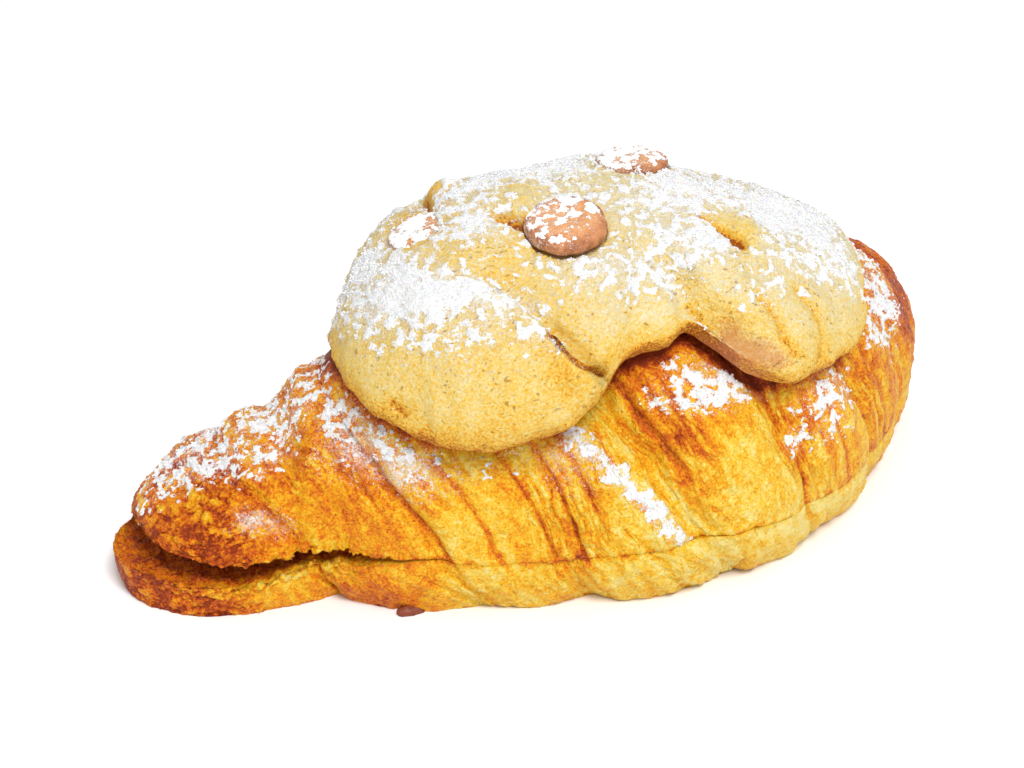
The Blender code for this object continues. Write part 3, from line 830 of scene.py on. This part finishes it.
def torn_edge(points, along, relief, bake, crust, edge, start):
    """Relief and baking of a half with its ragged rim and a painted shade line along its seam, and with the
    crumb that its cut shows in the mouth, painted dark as painted shade and pale near its rim.
    """
    mouth = smooth_step(58, 46, along)
    near = bell(edge, 1.0 + 0.9 * mouth)
    rough = noise(points, 1.6, 3, 0.75)
    outside = relief * (1 - 0.6 * near) + near * (0.15 + 0.65 * mouth) * (rough + 0.15)
    inside = mouth * (0.7 * noise(points, 2.4, 3, 0.7) - 0.3) * smooth_step(0, 1.5, edge)
    inside += 0.35 * mouth * bell(edge - 1.5, 1.8) * rough
    pale = (0.14 + 0.25 * smooth_step(10, 22, along)) * smooth_step(4.6, 2.4, edge + 0.8 * rough)
    # Painted shade: the cut face is dark inside the mouth, and pale only near its rim.
    crumb = 0.78 + 0.16 * noise(points, 2.4, 3) - pale - 0.08 * rough * mouth
    outside_bake = bake - near * 0.06 * smooth_step(14, 26, along) * mouth - 0.12 * near * rough
    # Painted shade: a darker line along the seam between the halves, past the mouth.
    outside_bake += 0.18 * bell(edge, 0.7) * (1 - mouth)
    tips = cap(along, start, 2)
    return np.where(crust > 0.5, outside, inside) * tips, np.where(crust > 0.5, outside_bake, crumb)


# Where loose pieces lie, for each kind: points, the directions they face, density, how many.
LOOSE = {"grains": [], "crumbs": []}
LID_GRAINS, COOKIE_GRAINS = 2600, 4600
LID_CRUMBS, BASE_CRUMBS = 240, 520


def grain_density(sugar, level):
    return sugar**2 + 0.05 * np.clip(level, 0, 1)


def crumb_density(along, edge, crust):
    return window(along, 0, 4, 46, 56) * (bell(edge, 1.4) + 0.25 * (1 - crust))


def make_lid():
    points, along, angle, place, crust, edge = half_body(LID_SETBACK, LID_GRID, True)
    relief, bake, fibres = crust_detail(points, along, angle, place, edge, True)
    normal = grid_normals(points)
    away, share = off_line(along, angle, *FOLD_ENDS)
    ridge = RIDGE_SUGAR * bell(away + 1.2, 1.8 - 0.9 * np.clip(share, 0, 1))
    ridge *= window(share, -0.2, 0.1, 0.75, 1.2)
    level = np.maximum(spots(along, angle, LID_SUGAR) * smooth_step(-0.1, 0.5, normal[..., 2]), ridge)
    level *= smooth_step(0.0, 2.2, beyond_slab(along, angle))
    dust = 0.55 * level + spots(along, angle, LID_DUST)
    sugar = sugar_clumps(points, level) * crust
    relief += sugar * (0.2 + 0.3 * noise(points, 1.1, 2))
    relief, bake = torn_edge(points, along, relief, bake, crust, edge, LID_SETBACK)
    points += normal * relief[..., None]
    LOOSE["grains"].append((points, normal, grain_density(sugar, level), LID_GRAINS))
    LOOSE["crumbs"].append((points, normal, crumb_density(along, edge, crust), LID_CRUMBS))
    return ring_mesh("lid_crust", points, bake=bake, sugar=sugar, veil=np.clip(dust, 0, 1), **fibres)


def make_base():
    points, along, angle, place, crust, edge = half_body(0, BASE_GRID, False)
    relief, bake, fibres = crust_detail(points, along, angle, place, edge, False)
    normal = grid_normals(points)
    sole = smooth_step(-0.6, -0.95, normal[..., 2]) * crust
    relief, bake = torn_edge(points, along, relief * (1 - sole), bake + 0.2 * sole, crust, edge, 0)
    points += normal * relief[..., None]
    points[..., 2] = np.maximum(points[..., 2], 0)
    bare = np.zeros_like(bake)
    LOOSE["crumbs"].append((points, normal, crumb_density(along, edge, crust), BASE_CRUMBS))
    return ring_mesh("base_crust", points, bake=bake, sugar=bare, veil=bare, **fibres)


# The split below the step, and fine folds: places as distance along and degrees, then depth and width.
CRACK = ((78.8, 52.6), (79.8, 50.6), (81.3, 47.6), (83.2, 45.4), (85.6, 43.8))
WRINKLES = (
    (((99, 58), (99.8, 54), (101, 49)), 0.7, 0.6),
    (((106, 56), (107.5, 50), (108.5, 43), (110, 36)), 0.9, 0.8),
    (((113, 54), (115, 47), (115.5, 40), (114, 33)), 0.8, 1.0),
    (((106.6, 79), (108.2, 72), (110.5, 65)), 1.8, 0.7), (((70, 111), (69.5, 104), (69, 97)), 0.9, 0.7),
    (((67, 101), (62, 97)), 0.5, 0.8), (((121, 88), (125, 80), (127, 70)), 0.5, 1.0),
    (((88, 110), (84, 96)), 0.5, 1.0), (((56.2, 48.5), (57.3, 45.5), (58, 42.5)), 0.9, 0.7),
    (((96, 60), (92, 57), (89, 55)), 0.25, 1.5), (((78.2, 53.8), (79.9, 50.9)), 1.6, 0.5),
)
# Spots where the dough is browner, or paler.
COOKIE_BROWN = (
    (111, 71, 3.2, 5, 0.22), (94, 49, 8, 3.5, 0.08), (91.5, 55, 6, 3.5, -0.14), (99, 57, 4, 4, -0.12),
    (80, 44, 5, 5, 0.3), (62, 34, 12, 4, 0.1), (70, 106, 4, 5, 0.08), (110, 60, 3, 5, 0.1),
    (62, 36, 14, 4, 0.1),
)
# The nub of dough at the back corner, and the pit beside the clear drop.
NUB_SIDES, NUB_DEGREES, NUB_WIDTH, NUB_HEIGHT = (69.6, 70.8, 73, 77), 106, 4.5, 2.0
PIT_ENDS, PIT_DEPTH = ((77.4, 84.5), (80.4, 82.3)), 3.4


def dough_folds(s, angle):
    """Height of the swellings, how far each place is on the nub, and depth of the split and the folds."""
    away, share = off_line(s, angle, *STEP_ENDS)
    beside = window(share, 0.1, 0.75, 1.05, 1.35)
    swell = 1.9 * smooth_step(0.2, -2.6, away) * np.exp(np.minimum(away, 0) / 7) * beside
    swell += 0.9 * bell(away - 2.2, 2.2) * beside
    nub = window(s, *NUB_SIDES) * bell(np.degrees(angle) - NUB_DEGREES, NUB_WIDTH)
    away, share = off_path(s, angle, CRACK)
    hollows = np.exp(-((away / (0.32 + 0.13 * share)) ** 2)) * (1.4 + 0.6 * share)
    for path, depth, width in WRINKLES:
        away, share = off_path(s, angle, path)
        hollows += depth * np.exp(-away / width) * window(share, -0.02, 0.12, 0.88, 1.02)
    return swell + NUB_HEIGHT * nub, nub, hollows


def sink_drops(points, relief, sugar, upper):
    """The dough's relief with a hollow under each drop, the sugar beside the drops, and how near their rims a
    place is, where painted shade browns the dough."""
    painted_drop_rim_shade = 0
    for row in BUTTONS:
        radius, half_height = row[2] + 0.1, row[3] / 2
        centre, axis = button_place(row)
        offset = points - centre
        rise = offset @ axis
        away = np.linalg.norm(offset - rise[..., None] * axis, axis=-1)
        drop_top = half_height * np.clip(1 - (away / radius) ** DROP_POWER, 0, 1) ** (1 / DROP_TOP_POWER)
        sunk = smooth_step(-0.1, 0.3, drop_top - rise - relief) * (away < radius) * upper
        relief += np.minimum(-half_height - 0.3 - rise - relief, 0) * sunk
        sugar *= 1 - sunk
        # Painted shade round each drop's rim.
        painted_drop_rim_shade += bell(away - row[2], 0.8) * bell(rise, 4)
    return relief, sugar, painted_drop_rim_shade


def even_polar(rings):
    """Polar angles of the slab's rings, evenly spaced over a typical section and sparser underneath."""
    reach, rim, rise = 46, 6, 9
    polar = np.linspace(0, math.pi, 6000)
    out = reach * np.sin(polar) ** (2 / PLAN_POWER)
    lift = np.abs(np.cos(polar))
    over = rim + rise * lift ** (2 / TOP_POWER)
    under = rim * (1 - lift ** (2 / UNDER_POWER))
    height = np.where(np.cos(polar) > 0, over, under)
    steps = np.hypot(np.diff(out, prepend=out[0]), np.diff(height, prepend=height[0]))
    steps *= np.where(polar < 2.2, 1.0, 0.45)
    run = np.cumsum(steps)
    return np.interp(np.linspace(0, run[-1], rings + 1), run, polar)[:, None]


def make_cookie():
    around, rings = COOKIE_GRID
    polar = even_polar(rings)
    turn = np.linspace(-math.pi, math.pi, around, endpoint=False)[None, :]
    out = cookie_reach(turn) * np.sin(polar) ** (2 / PLAN_POWER)
    s = COOKIE_MIDDLE[0] + out * np.cos(turn)
    angle = np.radians(COOKIE_MIDDLE[1] + out * np.sin(turn) / MM_PER_DEGREE)
    thick = cookie_thickness(s, angle)
    rim = RIM_SHARE * thick
    lift = np.abs(np.cos(polar))
    upper = np.cos(polar) > 0
    swell, nub, hollows = dough_folds(s, angle)
    over = rim + (thick - rim) * lift ** (2 / TOP_POWER)
    over += (cookie_relief(s, angle) + swell - hollows) * smooth_step(0, 0.5, lift)
    under = rim * (1 - lift ** (2 / UNDER_POWER))
    foot, out_of = envelope(s, angle)
    points = foot + out_of * (COOKIE_GAP + np.where(upper, over, under))[..., None]
    normal = grid_normals(points)
    facing_up = normal[..., 2]
    visible = smooth_step(2.2, 1.7, polar)
    away, share = off_line(s, angle, *PIT_ENDS)
    pit = bell(away, 1.1) * bell(share - 0.5, 0.85)
    bare = np.minimum(1.6 * pit + nub, 1)
    level = spots(s, angle, COOKIE_SUGAR, 0.0) * smooth_step(0.1, 0.6, facing_up) * (1 - bare)
    sugar = sugar_clumps(points, level) * visible
    relief = 0.8 * noise(points, 17, 2) + 0.4 * noise(points, 6, 2) + 0.2 * noise(points, 1.9, 3, 0.7)
    relief = relief - PIT_DEPTH * pit + sugar * (0.2 + 0.3 * noise(points, 1.1, 2))
    relief, sugar, painted_drop_rim_shade = sink_drops(points, relief, sugar, upper)
    rim_tan = smooth_step(0.55, 0.0, lift) * upper + ~upper
    tan = 0.36 - 0.24 * smooth_step(72, 92, s) * smooth_step(0.2, 0.8, facing_up)
    # Painted shade: browner below the step and in its creases, in the split and folds, in the pit, and round
    # each drop's rim.
    tan += 0.5 * rim_tan * smooth_step(0.9, -0.2, facing_up) - 0.10 * cookie_relief(s, angle) / 3
    tan += 0.25 * painted_drop_rim_shade * upper + np.clip(0.55 * hollows, 0, 0.75) + 0.9 * pit + 0.08 * nub
    tan = np.clip(tan + spots(s, angle, COOKIE_BROWN, 0.0), 0, 1)
    points += normal * (relief * visible)[..., None]
    LOOSE["grains"].append((points, normal, grain_density(sugar, level * visible), COOKIE_GRAINS))
    dust = np.clip((0.62 * level + COOKIE_DUST * smooth_step(0.1, 0.9, facing_up)) * visible, 0, 1)
    stain = spots(s, angle, COOKIE_STAIN, 0.0)
    return ring_mesh("cookie_dough", points, tan=tan, sugar=sugar, veil=dust, stain=stain)


def button_place(row):
    """A chocolate drop's middle and the direction it faces."""
    s, degrees, _, _, proud = row
    angle = np.radians(degrees)
    foot, normal = envelope(np.array(s), np.array(angle))
    height = COOKIE_GAP + cookie_thickness(s, angle) + cookie_relief(s, angle) + proud
    return foot + normal * height, normal


def squashed_ball(around, rings, side_power=2, top_power=2):
    """Rings of points round a ball of radius one, squarer for higher powers."""
    polar = np.linspace(0, math.pi, rings + 1)[:, None]
    turn = np.linspace(0, math.tau, around, endpoint=False)[None, :]
    reach = np.sin(polar) ** (2 / side_power)
    rise = signed_power(np.cos(polar), 2 / top_power)
    return np.stack(np.broadcast_arrays(reach * np.cos(turn), reach * np.sin(turn), rise), axis=-1)


# How much thicker the sugar lies on a drop's far side.
SUGAR_SLANT = 0.9


def make_drop(number, row, level):
    centre, axis = button_place(row)
    radius = row[2]
    flat = squashed_ball(*DROP_GRID, DROP_POWER, DROP_TOP_POWER) * (radius, radius, row[3] / 2)
    up = np.cos(np.linspace(0, math.pi, len(flat)))[:, None]
    out = np.hypot(flat[..., 0], flat[..., 1]) / radius
    turned = np.array(Vector(axis).to_track_quat("Z", "Y").to_matrix())
    points = flat @ turned.T + centre
    normal = grid_normals(points)
    relief = 0.3 * noise(points, 5, 2) + 0.12 * noise(points, 1.6, 2)
    dished = -0.5 * bell(out, 0.55) * smooth_step(0, 0.5, up)
    offset = (points - centre) / radius
    level = np.clip(level * (1 + SUGAR_SLANT * (0.8 * offset[..., 1] - 0.6 * offset[..., 0])), 0, 1)
    sugar = sugar_clumps(points + 3.0, level) * smooth_step(0.3, 0.8, normal[..., 2])
    relief += dished + sugar * 0.2
    points += normal * relief[..., None]
    tan = 0.1 - 0.3 * smooth_step(0.55, 1.0, out)
    return ring_mesh(f"chocolate_drop_{number}", points, sugar=sugar, veil=0.5 * level, tan=tan)


# A burnt drip against the foot of the base: half its length, depth and height, and its place.
DRIP_SIZE, DRIP_PLACE = (2.9, 1.6, 1.1), (-39.4, -16.9, 0.5)
DRIP_GRID = (48, 24)


def make_drip():
    points = squashed_ball(*DRIP_GRID) * DRIP_SIZE + DRIP_PLACE
    points += grid_normals(points) * (0.25 * noise(points, 1.6, 3))[..., None]
    points[..., 2] = np.maximum(points[..., 2], 0)
    return ring_mesh("burnt_drip", points)


def lump_shapes(kinds, flat, rough):
    """Irregular round lumps of radius one, flattened upwards."""
    gold = (1 + math.sqrt(5)) / 2
    corners = np.array([(0, a, b * gold) for a in (-1, 1) for b in (-1, 1)])
    corners = np.concatenate([np.roll(corners, turn, axis=1) for turn in range(3)])
    corners /= np.linalg.norm(corners[0])
    near = np.linalg.norm(corners[:, None] - corners[None], axis=-1)
    linked = (near > 0.1) & (near < 1.2)
    sides = []
    for a, b, c in itertools.combinations(range(len(corners)), 3):
        if linked[a, b] and linked[b, c] and linked[a, c]:
            out = np.dot(np.cross(corners[b] - corners[a], corners[c] - corners[a]), corners[a])
            sides.append((a, b, c) if out > 0 else (a, c, b))
    sides = np.array(sides)
    low, high, count = 1 - rough, 1 + rough, len(corners)
    return [(corners * RNG.uniform(low, high, (count, 1)) * (1, 1, flat), sides) for _ in range(kinds)]


def sown(points, normal, density, count):
    """Places on a grid of rings picked by a density per point, with the directions they face."""
    across = np.linalg.norm(np.gradient(points, axis=0), axis=-1)
    around = np.linalg.norm(np.roll(points, -1, axis=1) - points, axis=-1)
    weight = (density * across * around).ravel()
    weight[weight < 0] = 0
    picked = RNG.choice(weight.size, count, p=weight / weight.sum())
    jitter = RNG.uniform(-0.15, 0.15, (count, 3))
    return points.reshape(-1, 3)[picked] + jitter, normal.reshape(-1, 3)[picked]


def make_loose(name, kind, radii, *shape):
    """One mesh of many small lumps, each of a random form, size and turn, that lie on the large pieces."""
    places, axes = (np.concatenate(part) for part in zip(*(sown(*field) for field in LOOSE[kind])))
    sizes = RNG.uniform(*radii, len(places))
    lumps = lump_shapes(*shape)
    points, faces, count = [], [], 0
    for place, axis, size in zip(places, axes, sizes):
        lump, sides = lumps[RNG.integers(len(lumps))]
        spin = Matrix.Rotation(RNG.uniform(0, math.tau), 3, "Z")
        turn = Vector(axis).to_track_quat("Z", "Y").to_matrix() @ spin
        points.append(lump @ np.array(turn).T * size + place)
        faces.extend((sides + count).tolist())
        count += len(lump)
    mesh = bpy.data.meshes.new(name)
    mesh.from_pydata((np.concatenate(points) * MM).tolist(), [], faces)
    return finish_piece(name, mesh)


def grain_material(name, first, second, roughness, size):
    shader = Shader(name)
    shader.set("Base Color", shader.mix(shader.noise(size, 2.0), linear(first), linear(second)))
    shader.set("Roughness", roughness)
    shader.set("Normal", shader.bump(shader.noise(size * 0.3, 2.0), 0.05, 0.5))
    return shader


lid_finish = crust_material("baked_crust_lid")
base_finish = crust_material("baked_crust_base")
dough_finish = cookie_material()
chocolate_finish = chocolate_material()

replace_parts(lid_finish.dress(make_lid(), "crust_lid"), "croissant_lid")
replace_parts(base_finish.dress(make_base(), "crust_base"), "croissant_base")
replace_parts(dough_finish.dress(make_cookie(), "cookie"), "cookie_slab")
DROP_SUGAR = (0.5, 0.85, 0.8)
for number, (row, level) in enumerate(zip(BUTTONS, DROP_SUGAR), 1):
    drop = chocolate_finish.dress(make_drop(number, row, level), "milk_chocolate")
    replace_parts(drop, f"chocolate_button_{number}")
grain_material("burnt_drip", (84, 30, 14), (140, 62, 26), 0.55, 1.2).dress(make_drip(), None)

# Icing sugar and crumbs along the mouth: their radii, how many forms, how flat, how uneven.
grains = make_loose("sugar_grains", "grains", (0.08, 0.24), 6, 0.8, 0.3)
grain_material("icing_sugar", (247, 247, 248), (240, 240, 243), 0.9, 0.6).dress(grains, None)
crumbs = make_loose("crust_crumbs", "crumbs", (0.10, 0.28), 8, 0.6, 0.5)
grain_material("crust_crumbs", (238, 140, 24), (186, 82, 18), 0.7, 3.0).dress(crumbs, None)

# Floor, light and camera.
FLOOR_SIZE = 6.0
mesh = bpy.data.meshes.new("floor")
corners = [(x * FLOOR_SIZE, y * FLOOR_SIZE, 0) for x, y in ((-1, -1), (1, -1), (1, 1), (-1, 1))]
mesh.from_pydata(corners, [], [(0, 1, 2, 3)])
floor = add_object("floor", mesh)
paper = Shader("pale_floor")
paper.set("Base Color", linear((250, 250, 250)))
paper.set("Roughness", 0.9)
paper.set("Specular IOR Level", 0.1)
mesh.materials.append(paper.material)

world = bpy.data.worlds.new("studio")
bpy.context.scene.world = world
world.use_nodes = True
sky = world.node_tree.nodes["Background"].inputs
sky["Color"].default_value = (1, 1, 1, 1)
sky["Strength"].default_value = 0.67

AZIMUTH, ELEVATION = math.radians(-25), math.radians(30)
DISTANCE = 0.455
TARGET = Vector((-0.0095, 0.00384, 0.030))
LAMP_DISTANCE, LAMP_SIZE, LAMP_POWER = 1.2, 0.40, 12.3
LAMP_SIDE = Vector((-0.08, -0.60, 0.80)).normalized()
lamp = bpy.data.lights.new("key", "AREA")
lamp.shape = "SQUARE"
lamp.size = LAMP_SIZE
lamp.energy = LAMP_POWER
light = add_object("key", lamp)
light.location = LAMP_SIDE * LAMP_DISTANCE + TARGET
light.rotation_euler = LAMP_SIDE.to_track_quat("Z", "Y").to_euler()

camera = add_object("camera", bpy.data.cameras.new("camera"))
camera.data.lens = 85
camera.data.sensor_width = 36
camera.data.clip_start = 0.01
back = Vector(
    (math.sin(AZIMUTH) * math.cos(ELEVATION), -math.cos(AZIMUTH) * math.cos(ELEVATION), math.sin(ELEVATION))
)
right = Vector((math.cos(AZIMUTH), math.sin(AZIMUTH), 0))
turned = Matrix((right, back.cross(right), back)).transposed().to_4x4()
camera.matrix_world = Matrix.Translation(TARGET + back * DISTANCE) @ turned
bpy.context.scene.camera = camera
bpy.context.scene.view_settings.view_transform = "Standard"
